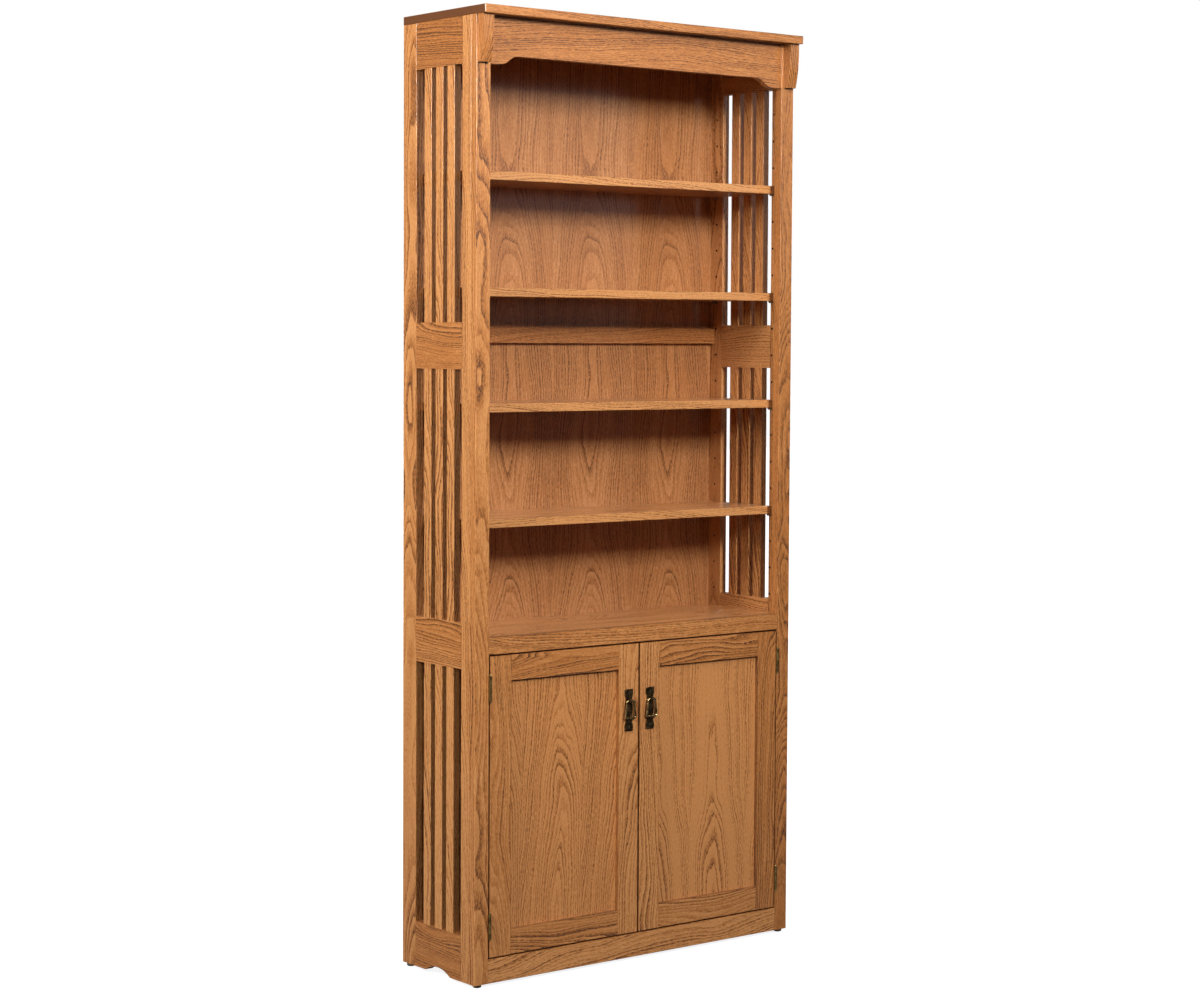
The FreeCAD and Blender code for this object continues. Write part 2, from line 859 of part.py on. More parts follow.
def build_shelves():
    half_width = -inner_left - of("shelf_side_play")
    along = (case_front + of("shelf_setback"), panel_front - of("shelf_back_play"))
    for label, underside in shelf_undersides.items():
        z_span = (underside, underside + of("board_thick"))
        keep(label, board(label, (-half_width, half_width), along, z_span, edges_along_x))


def build_shelf_pins():
    # One pin lies along X with its stem in the wood. Its tab has a flat top level with the shelf.
    pin = doc.addObject("PartDesign::Body", "shelf_pin")
    radius = of("pin_diameter") / 2
    length = of("pin_grip") + of("pin_reach")
    round_bar(pin, "Additive", "pin_stem", radius, length, -of("pin_grip"), 0, 0, along_x)
    half_tab = of("pin_tab_width") / 2
    tab_z = (radius - of("pin_tab_thick"), radius)
    add_box(pin, "pin_tab", (0, of("pin_reach")), (-half_tab, half_tab), tab_z)
    pins = []
    for label, hole_height in shelf_hole_heights.items():
        for side, y in (("front", pin_front_y), ("rear", pin_rear_y)):
            pins.append(copy_at(f"{label}_{side}_pin", pin, inner_left, y, hole_height))
    left_pins = group("shelf_pins_left", pins)
    keep("shelf_pins", group("shelf_pins", [left_pins, mirrored("shelf_pins_right", left_pins)]))


# ---- glides

def build_glides():
    glides = []
    for name, (x, y) in (("front", front_glide_place), ("rear", rear_glide_place)):
        body = doc.addObject("PartDesign::Body", f"{name}_glide_left")
        put(body, x, y, 0)
        radius = of("glide_diameter") / 2
        head = round_bar(body, "Additive", f"{name}_glide_head", radius, of("glide_height"), 0, 0, 0)
        doc.recompute()
        rim = [f"Edge{number}" for number, edge in enumerate(head.Shape.Edges, start=1)
               if edge.Closed and edge.CenterOfMass.z < of("glide_round").number]
        rounding = body.newObject("PartDesign::Fillet", f"{name}_glide_rim")
        rounding.Base = (head, rim)
        bind(rounding, "Radius", of("glide_round"))
        stem = of("glide_stem_diameter") / 2
        stem_length = of("glide_stem_length") - of("mortise_spare")
        round_bar(body, "Additive", f"{name}_glide_stem", stem, stem_length, 0, 0, of("glide_height"))
        glides += [body, mirrored(f"{name}_glide_right", body)]
    keep("glides", group("glides", glides))


# ---- doors, built on the left and mirrored

groove_y = (
    case_front + of("panel_setback") - of("groove_play"),
    case_front + of("panel_setback") + of("panel_thick") + of("groove_play"),
)
panel_y = (case_front + of("panel_setback"), case_front + of("panel_setback") + of("panel_thick"))
panel_left = door_left + of("door_stile_width")
panel_right = door_right - of("door_stile_width")
panel_bottom = door_bottom + of("door_rail_width")
panel_top = door_top - of("door_rail_width")


def build_door_stiles():
    depth = of("groove_depth")
    stiles = {
        "hinge_stile": ((door_left, panel_left), (panel_left - depth, panel_left),
                        ("left front", "left back")),
        "lock_stile": ((panel_right, door_right), (panel_right, panel_right + depth),
                       ("right front", "right back")),
    }
    drill_sets = {
        "hinge_stile": screws_at("door_leaf_drill", screw_drill, door_screw_places, against_x),
        "lock_stile": screws_at("pull_drill", screw_drill, pull_screw_places, against_y)
        + screws_at("strike_drill", screw_drill, strike_screw_places, along_y),
    }
    for name, (x_span, groove_x, eased) in stiles.items():
        stile = board(f"{name}_board", x_span, (case_front, door_back), (door_bottom, door_top), eased)
        cut_box(stile, f"{name}_groove", groove_x, groove_y, (door_bottom, door_top))
        keep(f"{name}_left", drilled(f"{name}_left", stile, drill_sets[name]))


def build_door_rails():
    depth = of("groove_depth")
    tongue = depth - of("panel_edge_play")
    rails = {
        "door_top_rail": ((panel_top, door_top), (panel_top, panel_top + depth), ("top front", "top back")),
        "door_bottom_rail": ((door_bottom, panel_bottom), (panel_bottom - depth, panel_bottom),
                             ("bottom front", "bottom back")),
    }
    for name, (z_span, groove_z, eased) in rails.items():
        rail = board(f"{name}_left", (panel_left, panel_right), (case_front, door_back), z_span, eased)
        add_box(rail, f"{name}_hinge_tongue", (panel_left - tongue, panel_left), panel_y, z_span)
        add_box(rail, f"{name}_lock_tongue", (panel_right, panel_right + tongue), panel_y, z_span)
        groove_x = (panel_left - depth, panel_right + depth)
        cut_box(rail, f"{name}_groove", groove_x, groove_y, groove_z)
        keep(f"{name}_left", rail)


def build_door_panel():
    tongue = of("groove_depth") - of("panel_edge_play")
    across = (panel_left - tongue, panel_right + tongue)
    up = (panel_bottom - tongue, panel_top + tongue)
    keep("door_panel_left", board("door_panel_left", across, panel_y, up))


# ---- butt hinges: frame knuckles at both ends and the middle, door knuckles between them

knuckle_total = 5


def build_leaf(label, height, plate_x, own_knuckles, drills):
    plate_y = (
        hinge_y + of("hinge_barrel_diameter") / 2 + of("hinge_play"),
        case_front + of("leaf_width"),
    )
    foot = height - of("hinge_barrel_length") / 2
    leaf = doc.addObject("PartDesign::Body", f"{label}_plate")
    add_box(leaf, f"{label}_flat", plate_x, plate_y, (foot, foot + of("hinge_barrel_length")))
    pitch = of("hinge_barrel_length") / knuckle_total
    barrel_radius = of("hinge_barrel_diameter") / 2
    for number in own_knuckles:
        low = foot + pitch * number + of("hinge_play") / 2
        length = pitch - of("hinge_play")
        web_y = (hinge_y, plate_y[0] + of("leaf_thick"))
        add_box(leaf, f"{label}_web_{number}", plate_x, web_y, (low, low + length))
        knuckle = f"{label}_knuckle_{number}"
        round_bar(leaf, "Additive", knuckle, barrel_radius, length, hinge_x, hinge_y, low)
    bore = of("hinge_pin_diameter") / 2 + of("hinge_pin_play")
    length = of("hinge_barrel_length")
    round_bar(leaf, "Subtractive", f"{label}_bore", bore, length, hinge_x, hinge_y, foot)
    return drilled(label, leaf, drills)


def build_hinge_pin(label, height):
    pin = doc.addObject("PartDesign::Body", label)
    put(pin, hinge_x, hinge_y, height)
    half = of("hinge_barrel_length") / 2
    round_bar(pin, "Additive", f"{label}_shaft", of("hinge_pin_diameter") / 2, half * 2, 0, 0, -half)
    collar_radius = of("hinge_barrel_diameter") / 2
    collar_bottoms = {"top": half, "bottom": -half - of("hinge_collar")}
    tip_out = half + of("hinge_collar") + of("hinge_tip_diameter") / 2 - of("hinge_tip_sink")
    tip_middles = {"top": tip_out, "bottom": -tip_out}
    for end, low in collar_bottoms.items():
        round_bar(pin, "Additive", f"{label}_{end}_collar", collar_radius, of("hinge_collar"), 0, 0, low)
        tip = pin.newObject("PartDesign::AdditiveSphere", f"{label}_{end}_tip")
        bind(tip, "Radius", of("hinge_tip_diameter") / 2)
        put(tip, 0, 0, tip_middles[end])
    return pin


def build_hinges():
    frame_x = (stile_edge, frame_leaf_face)
    door_x = (door_leaf_face, door_left)
    frame_leaves = []
    door_leaves = []
    pins = []
    for position, height in hinge_heights.items():
        places = [(leaf_screw_y, height + offset) for offset in leaf_screw_offsets]
        frame_drills = screws_at(f"{position}_frame_leaf_drill", screw_drill,
                                 [(frame_leaf_face, *place) for place in places], along_x)
        door_drills = screws_at(f"{position}_door_leaf_drill", screw_drill,
                                [(door_leaf_face, *place) for place in places], against_x)
        frame_leaves.append(build_leaf(f"{position}_frame_leaf", height, frame_x, (0, 2, 4), frame_drills))
        door_leaves.append(build_leaf(f"{position}_door_leaf", height, door_x, (1, 3), door_drills))
        pins.append(build_hinge_pin(f"{position}_hinge_pin", height))
    left_frame_leaves = group("frame_hinge_leaves_left", frame_leaves)
    right_frame_leaves = mirrored("frame_hinge_leaves_right", left_frame_leaves)
    keep("frame_hinge_leaves", group("frame_hinge_leaves", [left_frame_leaves, right_frame_leaves]))
    left_pins = group("hinge_pins_left", pins)
    keep("hinge_pins", group("hinge_pins", [left_pins, mirrored("hinge_pins_right", left_pins)]))
    keep("door_hinge_leaves_left", group("door_hinge_leaves_left", door_leaves))


# ---- drop pulls

def build_pull_plate():
    # The plate's back lies on the door. Its ends are full width and run into the waist in arcs.
    body = doc.addObject("PartDesign::Body", "pull_plate_left_cast")
    put(body, pull_x, case_front, pull_z)
    half_width = of("pull_width") / 2
    half_waist = of("pull_waist") / 2
    top = of("pull_height") / 2
    shoulder = top - of("pull_end")
    neck = shoulder - of("pull_flare")
    corner = of("pull_corner")
    quarter = [
        (half_waist, neck),
        (half_width, shoulder),
        (half_width, top - corner),
        (half_width - corner, top),
    ]
    corners = quarter
    corners = corners + [(-u, v) for u, v in reversed(quarter)]
    corners = corners + [(-u, -v) for u, v in quarter]
    corners = corners + [(u, -v) for u, v in reversed(quarter)]
    flare = arc_radius(of("pull_flare"), half_width - half_waist)
    arcs = {0: (flare, 1), 6: (flare, 1), 8: (flare, 1), 14: (flare, 1)}
    arcs.update({side: (corner, -1) for side in (2, 4, 10, 12)})
    sketch = sketch_on(body, "pull_outline", "XZ_Plane")
    outline(sketch, corners, arcs)
    plate = pad(body, sketch, "pull_plate_flat", of("pull_thick"))
    doc.recompute()
    front = min(range(len(plate.Shape.Faces)), key=lambda face: plate.Shape.Faces[face].CenterOfMass.y)
    bevel = body.newObject("PartDesign::Chamfer", "pull_plate_bevel")
    bevel.Base = (plate, [f"Face{front + 1}"])
    bind(bevel, "Size", of("pull_bevel"))
    axis_y = -of("pull_thick") - of("knuckle_out")
    half_knuckle = of("knuckle_width") / 2
    radius = of("knuckle_diameter") / 2
    rise = of("knuckle_rise")
    half_neck = of("knuckle_neck_height") / 2
    neck_z = (rise - half_neck, rise + half_neck)
    add_box(body, "knuckle_neck", (-half_knuckle, half_knuckle), (axis_y, -of("pull_thick") / 2), neck_z)
    width = of("knuckle_width")
    round_bar(body, "Additive", "knuckle", radius, width, -half_knuckle, axis_y, rise, along_x)
    bore = of("bail_rod") / 2 + of("bail_play")
    length = width + of("overrun") * 2
    low_x = -half_knuckle - of("overrun")
    round_bar(body, "Subtractive", "knuckle_bore", bore, length, low_x, axis_y, rise, along_x)
    drills = screws_at("plate_drill", screw_drill, pull_screw_places, against_y)
    keep("pull_plate_left", drilled("pull_plate_left", body, drills))


def build_bail():
    # A bent rod that hangs from the knuckle by its two turned-in ends.
    body = doc.addObject("PartDesign::Body", "pull_bail_left")
    put(body, pull_x, case_front - of("pull_thick") - of("knuckle_out"), pull_z + of("knuckle_rise"))
    end = of("bail_end_gap") / 2
    half_top = of("bail_top_width") / 2
    half_bottom = of("bail_bottom_width") / 2
    drop = -of("bail_drop")
    half = [(end, 0), (half_top, 0), (half_bottom, drop)]
    corners = half + [(-u, v) for u, v in reversed(half)]
    path = sketch_on(body, "bail_path", "XZ_Plane")
    bent_path(path, corners, of("bail_bend"))
    section = sketch_on(body, "bail_section", "YZ_Plane")
    bind(section, "AttachmentOffset.Base.z", end)
    circle = section.addGeometry(Part.Circle(Vector(), Vector(0, 0, 1), of("bail_rod").number / 2))
    section.addConstraint(Sketcher.Constraint("Coincident", circle, 3, -1, 1))
    row = section.addConstraint(Sketcher.Constraint("Radius", circle, of("bail_rod").number / 2))
    bind(section, f"Constraints[{row}]", of("bail_rod") / 2)
    doc.recompute()
    rod = body.newObject("PartDesign::AdditivePipe", "bail_rod")
    rod.Profile = section
    rod.Spine = (path, [f"Edge{number}" for number in range(1, len(path.Shape.Edges) + 1)])
    keep("pull_bail_left", body)


# ---- twin magnetic catch behind the counter rail, with a strike on each door

def build_catch():
    half = of("catch_width") / 2
    top = counter_rail_bottom + of("catch_height") / 2
    bottom = top - of("catch_height")
    body = doc.addObject("PartDesign::Body", "magnetic_catch_body")
    depth = (frame_back, frame_back + of("catch_depth"))
    add_box(body, "catch_case", (-half, half), depth, (bottom, top))
    ear = half + of("catch_ear_width")
    half_ear = of("catch_ear_height") / 2
    ear_y = (frame_back, frame_back + of("catch_ear_thick"))
    add_box(body, "catch_ears", (-ear, ear), ear_y, (ear_z - half_ear, ear_z + half_ear))
    air = door_back + of("strike_thick") + of("catch_air")
    cut_box(body, "catch_relief", (-half, half), (frame_back, air), (bottom, counter_rail_bottom))
    places = catch_screw_places + [(-x, y, z) for x, y, z in catch_screw_places]
    drills = screws_at("catch_body_drill", screw_drill, places, along_y)
    keep("magnetic_catch", drilled("magnetic_catch", body, drills))
    across = (strike_right - of("strike_width"), strike_right)
    plate = board("strike_left_plate", across, (door_back, door_back + of("strike_thick")),
                  (strike_top - of("strike_height"), strike_top))
    plate_drills = screws_at("strike_plate_drill", screw_drill, strike_screw_places, along_y)
    keep("strike_left", drilled("strike_left", plate, plate_drills))


def build_screws():
    frame_screws = screws_at("frame_screw", wood_screw, frame_screw_places, along_x)
    catch_screws = screws_at("catch_screw", wood_screw, catch_screw_places, along_y)
    left_screws = group("case_screws_left", frame_screws + catch_screws)
    keep("case_screws", group("case_screws", [left_screws, mirrored("case_screws_right", left_screws)]))
    door_screws = screws_at("door_leaf_screw", wood_screw, door_screw_places, against_x)
    door_screws += screws_at("pull_screw", wood_screw, pull_screw_places, against_y)
    door_screws += screws_at("strike_screw", wood_screw, strike_screw_places, along_y)
    keep("door_screws_left", group("door_screws_left", door_screws))


build_top()
build_face_stiles()
build_frame_rails()
build_apron()
build_corbels()
build_side_stiles()
build_side_rails()
build_slats()
build_fixed_boards()
build_back()
build_shelves()
build_shelf_pins()
build_glides()
build_door_stiles()
build_door_rails()
build_door_panel()
build_hinges()
build_pull_plate()
build_bail()
build_catch()
build_screws()

door_nodes = (
    "hinge_stile",
    "lock_stile",
    "door_top_rail",
    "door_bottom_rail",
    "door_panel",
    "door_hinge_leaves",
    "pull_plate",
    "pull_bail",
    "strike",
    "door_screws",
)
for name in door_nodes:
    keep(f"{name}_right", mirrored(f"{name}_right", nodes[f"{name}_left"]))

doc.recompute()

failed = [item.Label for item in doc.Objects if "Invalid" in item.State or "Error" in item.State]
bad = [label for label, piece in nodes.items() if piece.Shape.isNull() or not piece.Shape.isValid()]
if failed or bad:
    raise RuntimeError(f"not built: {failed}, bad shapes: {bad}")

os.makedirs("parts", exist_ok=True)
for label, piece in nodes.items():
    piece.Shape.exportStep(f"parts/{label}.step")
    print(f"{label}: {len(piece.Shape.Solids)} solid(s), {piece.Shape.Volume / 1000:.1f} cm3")
print(f"{len(nodes)} nodes")
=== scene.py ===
import math

import bpy
from mathutils import Matrix, Vector


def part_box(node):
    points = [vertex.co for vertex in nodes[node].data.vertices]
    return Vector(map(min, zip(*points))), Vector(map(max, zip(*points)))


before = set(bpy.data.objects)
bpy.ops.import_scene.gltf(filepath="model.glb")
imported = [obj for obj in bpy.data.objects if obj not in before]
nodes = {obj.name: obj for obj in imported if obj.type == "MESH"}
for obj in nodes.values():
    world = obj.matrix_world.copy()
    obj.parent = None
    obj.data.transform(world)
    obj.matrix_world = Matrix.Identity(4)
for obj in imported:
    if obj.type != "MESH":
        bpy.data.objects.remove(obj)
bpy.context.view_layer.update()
print("frame loaded:", len(nodes), "nodes")

mm = 0.001


def linear(red, green, blue):  # a colour as it is seen on screen, 0 to 255, made linear
    levels = [level / 255 for level in (red, green, blue)]
    return tuple(((level + 0.055) / 1.055) ** 2.4 if level > 0.04 else level / 12.92 for level in levels)


class Flow:  # one value on its way through the nodes, so sums are written as on paper
    def __init__(self, plan, socket):
        self.plan = plan
        self.socket = socket

    def worked(self, operation, *terms):
        sockets = dict(enumerate(terms))
        return self.plan.node("Math", {"operation": operation}, sockets)[0]

    def __add__(self, other):
        return self.worked("ADD", self, other)

    def __sub__(self, other):
        return self.worked("SUBTRACT", self, other)

    def __rsub__(self, other):
        return self.worked("SUBTRACT", other, self)

    def __mul__(self, other):
        return self.worked("MULTIPLY", self, other)

    def __truediv__(self, other):
        return self.worked("DIVIDE", self, other)

    def __rtruediv__(self, other):
        return self.worked("DIVIDE", other, self)

    def __pow__(self, other):
        return self.worked("POWER", self, other)

    def __rpow__(self, other):
        return self.worked("POWER", other, self)

    __radd__ = __add__
    __rmul__ = __mul__

    def size(self):
        return self.worked("ABSOLUTE", self)

    def least(self, other):
        return self.worked("MINIMUM", self, other)

    def whole(self):
        return self.worked("FLOOR", self)

    def rest(self):
        return self.worked("FRACT", self)

    def between(self, low, high):  # 0 at low, 1 at high, and no further
        spread = {"interpolation_type": "SMOOTHSTEP"}
        return self.plan.node("MapRange", spread, {"Value": self, "From Min": low, "From Max": high})[0]


class Made:  # a node that has been made, whose outputs are asked for by name or number
    def __init__(self, plan, node):
        self.plan = plan
        self.node = node

    def __getitem__(self, output):
        return Flow(self.plan, self.node.outputs[output])


class Plan:  # the nodes of a material or of the world
    def __init__(self, owner):
        owner.use_nodes = True
        self.tree = owner.node_tree

    def node(self, kind, settings, sockets):
        made = self.tree.nodes.new("ShaderNode" + kind)
        for name, value in settings.items():
            setattr(made, name, value)
        for name, value in sockets.items():
            self.feed(made.inputs[name], value)
        return Made(self, made)

    def feed(self, socket, value):
        if isinstance(value, Flow):
            self.tree.links.new(value.socket, socket)
        elif socket.type == "RGBA":
            socket.default_value = (*value, 1)
        else:
            socket.default_value = value

    def mix(self, share, first, second):
        sockets = {0: share, 6: first, 7: second}
        return self.node("Mix", {"data_type": "RGBA"}, sockets)[2]


class Finish(Plan):
    def __init__(self, name):
        self.material = bpy.data.materials.new(name)
        super().__init__(self.material)
        self.surface = self.tree.nodes["Principled BSDF"]

    def noise(self, place, scale=1.0, detail=2.0, roughness=0.5):
        sockets = {"Vector": place, "Scale": scale, "Detail": detail, "Roughness": roughness}
        return self.node("TexNoise", {}, sockets)["Fac"]

    def vector(self, first, second, third):
        return self.node("CombineXYZ", {}, {0: first, 1: second, 2: third})[0]

    def grain(self, side, deep, along, across, lengthwise, **looks):
        return self.noise(self.vector(side * across, deep * across, along * lengthwise), **looks)

    def coat(self, **sockets):
        for name, value in sockets.items():
            self.feed(self.surface.inputs[name.replace("_", " ")], value)

    def bump(self, height, strength, distance):
        sockets = {"Height": height, "Strength": strength, "Distance": distance}
        self.feed(self.surface.inputs["Normal"], self.node("Bump", {}, sockets)["Normal"])


oak = {
    "light": linear(203, 141, 84),
    "mid": linear(171, 106, 52),
    "dark": linear(98, 57, 29),
    "pore": linear(50, 30, 17),
    "bore": linear(24, 14, 9),  # painted shade inside the pin holes
    "midFrom": -0.32,  # the depths of stain between which light turns to mid
    "midTo": 0.3,
    "darkFrom": 0.12,  # and mid to dark
    "darkTo": 1.0,
    "poreShare": 0.6,
    "roughness": 0.4,
    "poreRoughness": 0.2,  # what pores and clouds add to it
    "cloudRoughness": 0.08,
    "specular": 0.25,
    "lacquer": 0.9,
    "lacquerRoughness": 0.16,
    "relief": 0.5,  # how strongly the pores stand out
    "poreDepth": 0.3 * mm,
    "lineDepth": 0.4,  # of a ring's line, as a share of a pore's
}

# the backs are sliced veneer, a little greyer than the solid oak, and the door panels a little warmer
slicedOak = dict(oak, light=linear(200, 145, 96), mid=linear(168, 109, 61), dark=linear(95, 59, 35))
warmOak = dict(oak, light=linear(200, 135, 78), mid=linear(169, 102, 49))

# the trunk that the pieces are sawn from
trunk = {
    "ring": 4.2 * mm,  # from one year's pores to the next
    "taper": 0.04,  # how fast the rings close in along the trunk: it makes the arches
    "step": 3.7,  # how far along the trunk the next seed's piece is cut
    "strayAside": 0.07,  # how far the trunk's middle strays from a straight line
    "asideWaves": 1.9,  # and how often in a metre
    "strayDeep": 0.09,
    "deepWaves": 1.8,
    "swirl": 0.02,  # how far a ring bulges
    "ripple": 0.0045,
    "uneven": 3.0,  # how many years ahead or behind the rings run
    "unevenWaves": (0.3, 0.7),  # over the years and along the grain
    "vigourWaves": (0.42, 0.9),  # the same for good and bad years
    "vigourSeed": 4.0,
    "poorYear": 0.36,
    "richYear": 0.68,
}

# how fine each pattern is across and along the grain, in waves to the metre
patterns = {
    "swirl": dict(across=16.0, lengthwise=4.0, detail=1.0),
    "ripple": dict(across=70.0, lengthwise=13.0, detail=2.0),
    "streak": dict(across=380.0, lengthwise=22.0, detail=3.0, roughness=0.65),
    "fleck": dict(across=640.0, lengthwise=120.0, detail=3.0, roughness=0.7),
    "cloud": dict(across=11.0, lengthwise=2.2, detail=2.0),
}

poreSet = {
    "onset": 0.08,  # the part of a year in which the pores set in
    "fade": 2.2,  # how fast they thin out after it
    "least": 0.4,  # in a poor year
    "vigour": 0.9,  # how many more in a rich one
    "brokenFrom": 0.4,  # where a dash ends and the next begins
    "brokenTo": 0.6,
    "linePlain": 0.5,  # the dark line of a ring
    "lineBroken": 0.8,  # and what the dashes add to it
    "lateShare": 0.22,  # dashes in the late wood
    "earlyShare": 0.7,
}

stain = {
    "streak": 0.8,  # how much each pattern shows in the colour
    "fleck": 0.7,
    "cloud": 0.45,
    "scatter": 0.37,  # deals tones out to the seeds
    "pieceSpread": 0.14,  # how far pieces differ
    "leafSpread": 0.12,  # how far the leaves of one piece differ
    "leafSeed": 7.3,
    "edge": 0.55,  # painted shade: a board's edges are darkened, so the gaps round the doors look dark
    "edgeFrom": 0.3 * mm,
    "edgeTo": 1.5 * mm,
    "groove": 1.6,  # painted shadow: a dark band where a panel enters its rail, as the rail's shadow
    "grooveFrom": 3.5 * mm,
    "grooveTo": 1.5 * mm,
    "endFrom": 0.5,  # how squarely a face looks along the grain, squared
    "endTo": 0.8,
}

# the axes across the grain in the face, into the wood and along the grain
cuts = {
    "upright": "XYZ",  # grain up, broad face to the front
    "uprightSide": "YXZ",  # grain up, broad face to the side
    "across": "ZYX",  # grain from side to side, broad face to the front
    "flat": "YZX",  # grain from side to side, broad face up
    "alongSide": "ZXY",  # grain from front to back, broad face to the side
}


def oakFinish(
    name, cut, middle, heart, leaf=None, slip=0.05, seed=0.0, tone=0.0, ring=1.0, flame=1.0, bold=1.0,
    bored=(), edges=None, under=None, wood=oak,
):
    # middle: the piece's own middle; heart: how far aside and how deep the trunk's middle lies;
    # leaf: the width of the boards or veneers that the piece is put together from; slip: how far
    # each is moved along its neighbour; bored: rows of blind holes, with painted shade inside; edges: half
    # the piece's width and length, along which painted shade darkens the edges; under: how far up it shows,
    # if it goes into a rail's slot, where a dark band is painted as the rail's shadow
    finish = Finish(name)
    coordinates = finish.node("TexCoord", {}, {})
    split = finish.node("SeparateXYZ", {}, {"Vector": coordinates["Object"]})
    side, deep, along = [split[axis] - middle["XYZ".index(axis)] for axis in cuts[cut]]
    tone = tone + ((seed * stain["scatter"]) % 1 - 0.5) * stain["pieceSpread"]
    # painted shade: the edges of these pieces are darkened so the gaps round the doors look dark
    if edges:
        inside = (edges[0] - side.size()).least(edges[1] - along.size())
        tone = tone + (1.0 - inside.between(stain["edgeFrom"], stain["edgeTo"])) * stain["edge"]
    # painted shadow: a dark band along the top of a door panel, under its rail
    if under:
        railShadowBand = along.between(under - stain["grooveFrom"], under - stain["grooveTo"])
        tone = tone + railShadowBand * stain["groove"]
    if leaf:
        number = (side / leaf + seed % 1).whole()
        side = side - (number - seed % 1 + 0.5) * leaf
        leafSeed = number + seed * stain["leafSeed"]
        chance = finish.node("TexWhiteNoise", {"noise_dimensions": "1D"}, {"W": leafSeed})["Value"]
        along = along + (chance - 0.5) * slip
        tone = tone + (chance - 0.5) * stain["leafSpread"]
    along = along + seed * trunk["step"]

    swirl, ripple, streak, fleck, cloud = [
        finish.grain(side, deep, along, **pattern) for pattern in patterns.values()
    ]

    # rings round a trunk that wanders, swells and tapers
    aside = finish.noise(finish.vector(seed, 0.0, along * trunk["asideWaves"]), detail=1.0)
    lean = finish.noise(finish.vector(0.0, seed, along * trunk["deepWaves"]), detail=1.0)
    sideways = side - heart[0] + (aside - 0.5) * trunk["strayAside"]
    inwards = deep - heart[1] + (lean - 0.5) * trunk["strayDeep"] * flame
    radius = (sideways * sideways + inwards * inwards) ** 0.5
    radius = radius + along * (trunk["taper"] * flame)
    radius = radius + (swirl - 0.5) * trunk["swirl"] + (ripple - 0.5) * trunk["ripple"]
    years = radius / (trunk["ring"] * ring)
    yearly, lengthwise = trunk["unevenWaves"]
    uneven = finish.noise(finish.vector(years * yearly, seed, along * lengthwise), detail=1.0)
    years = years + uneven * trunk["uneven"]
    year = years.rest()
    yearly, lengthwise = trunk["vigourWaves"]
    growth = finish.vector(years * yearly, seed + trunk["vigourSeed"], along * lengthwise)
    vigour = finish.noise(growth, detail=0.0).between(trunk["poorYear"], trunk["richYear"])

    # pores are short dashes along the grain, most of them in the early wood
    early = (1.0 - year) ** poreSet["fade"] * year.between(0.0, poreSet["onset"])
    early = early * (poreSet["least"] + vigour * poreSet["vigour"])
    broken = fleck.between(poreSet["brokenFrom"], poreSet["brokenTo"])
    line = early * (poreSet["linePlain"] + broken * poreSet["lineBroken"]) * bold
    pores = broken * (poreSet["lateShare"] + early * poreSet["earlyShare"])

    # the ends of boards drink more stain
    facing = finish.node("SeparateXYZ", {}, {"Vector": coordinates["Normal"]})[cuts[cut][2]]
    ended = (facing * facing).between(stain["endFrom"], stain["endTo"])

    depth = line + (streak - 0.5) * stain["streak"] + (fleck - 0.5) * stain["fleck"]
    depth = depth + (cloud - 0.5) * stain["cloud"] + tone + ended
    colour = finish.mix(depth.between(wood["midFrom"], wood["midTo"]), wood["light"], wood["mid"])
    colour = finish.mix(depth.between(wood["darkFrom"], wood["darkTo"]), colour, wood["dark"])
    colour = finish.mix(pores * wood["poreShare"], colour, wood["pore"])
    # painted shade inside the pin holes
    for row in bored:
        colour = finish.mix(holeShadeShare(split, row), colour, wood["bore"])
    finish.coat(
        Base_Color=colour,
        Roughness=wood["roughness"] + pores * wood["poreRoughness"] + (cloud - 0.5) * wood["cloudRoughness"],
        Specular_IOR_Level=wood["specular"],
        Coat_Weight=wood["lacquer"],
        Coat_Roughness=wood["lacquerRoughness"],
    )
    finish.bump(1.0 - pores - line * wood["lineDepth"], wood["relief"], wood["poreDepth"])
    return finish.material


# the holes for the shelf pins
pinRow = {
    "pitch": 63.5 * mm,
    "inner": 456 * mm,  # from the bookcase's middle to the bottom of the holes
    "bottom": 1 * mm,  # how softly they end there
    "radius": 2.5 * mm,
    "rim": 0.4 * mm,
    "cutOff": 0.01,  # how softly the row ends, in pitches
}
openRow = dict(pinRow, start=811.5 * mm, holes=19)
cabinetRow = dict(pinRow, start=276.5 * mm, holes=5)


def pinRows(across):
    return [dict(row, across=across) for row in (openRow, cabinetRow)]


def holeShadeShare(split, row):  # 1 inside the holes of one row, where their shade is painted, 0 beside them
    stepped = (split["Z"] - row["start"]) / row["pitch"] + 0.5
    up = (stepped.rest() - 0.5) * row["pitch"]
    across = split["Y"] - row["across"]
    away = (across * across + up * up) ** 0.5
    below = stepped.between(0.0, row["cutOff"])
    above = stepped.between(row["holes"], row["holes"] + row["cutOff"])
    deepest = (split["X"] * split["X"]).between(row["inner"] ** 2, (row["inner"] + row["bottom"]) ** 2)
    outside = away.between(row["radius"], row["radius"] + row["rim"])
    return (1.0 - outside) * (below * (1.0 - above)) * (1.0 - deepest)


def middleOf(nodeName):
    low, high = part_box(nodeName)
    return (low + high) / 2


def wear(nodeName, material):  # the whole node gets the one material
    for held in nodes[nodeName].material_slots:
        held.material = material


def edgesOf(nodeName, cut):  # half the piece's width and length
    low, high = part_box(nodeName)
    return [(high - low)["XYZ".index(cuts[cut][way])] / 2 for way in (0, 2)]


def dress(nodeName, cut, heart, edged=False, **looks):
    edges = edgesOf(nodeName, cut) if edged else None
    wear(nodeName, oakFinish("oak_" + nodeName, cut, middleOf(nodeName), heart, edges=edges, **looks))


board = dict(cut="flat", heart=(0.0, -0.05), slip=2.0)
# the shelves are toned lighter: painted light and sheen, standing in for the light on their tops
shelf = dict(board, leaf=0.08, tone=-0.35)
veneer = dict(cut="upright", heart=(0.0, 0.045), leaf=0.24, flame=1.2, wood=slicedOak)

